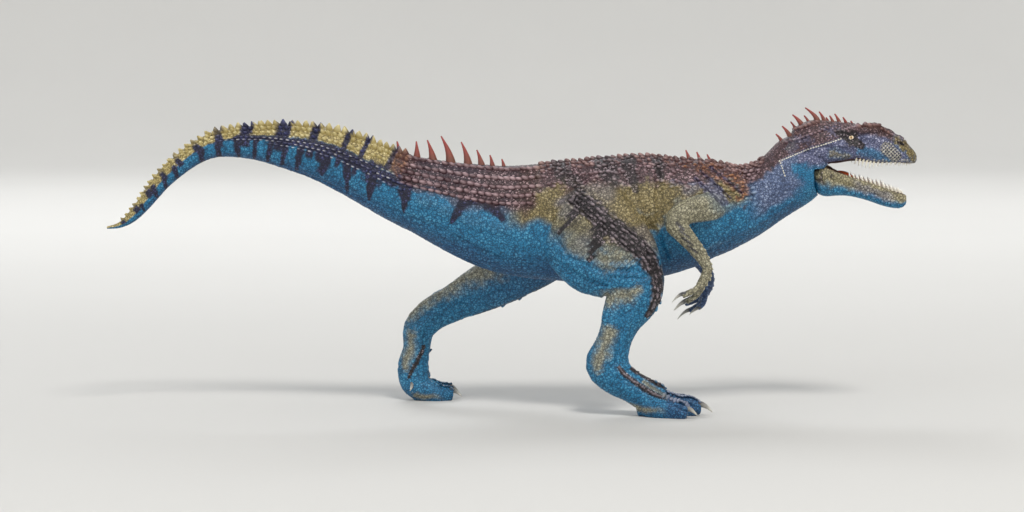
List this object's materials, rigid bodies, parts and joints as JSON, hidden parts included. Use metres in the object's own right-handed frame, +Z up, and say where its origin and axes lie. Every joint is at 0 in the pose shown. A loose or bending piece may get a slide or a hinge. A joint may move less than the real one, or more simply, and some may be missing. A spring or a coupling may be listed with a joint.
{
  "type": "painted allosaurus figurine with a hinged jaw",
  "caption": "Moulded and painted plastic figurine of a striding allosaurus on two feet, with spined back, long tail and a hinged lower jaw that opens and closes.",
  "frame": {"origin": "on the ground under the middle of the figure's box, level with the soles", "axes": "+X towards the snout, +Y to the animal's left, +Z up"},
  "size_m": [0.2647, 0.0586, 0.0992],
  "materials": {
    "skin": "painted plastic, satin, sand over blue with dark stripes",
    "jaw": "painted plastic, satin, sand yellow"
  },
  "bodies": {
    "figure": {"body": "skin", "right_leg": "skin", "left_leg": "skin", "right_arm": "skin", "left_arm": "skin"},
    "jaw": {"lower_jaw": "jaw"}
  },
  "joints": [
    {"name": "jaw_hinge", "type": "hinge", "parent": "figure", "child": "jaw", "pos_m": [0.1004, -0.0038, 0.0818], "axis": [0, 1, 0], "range_deg": [-13, 0]}
  ]
}
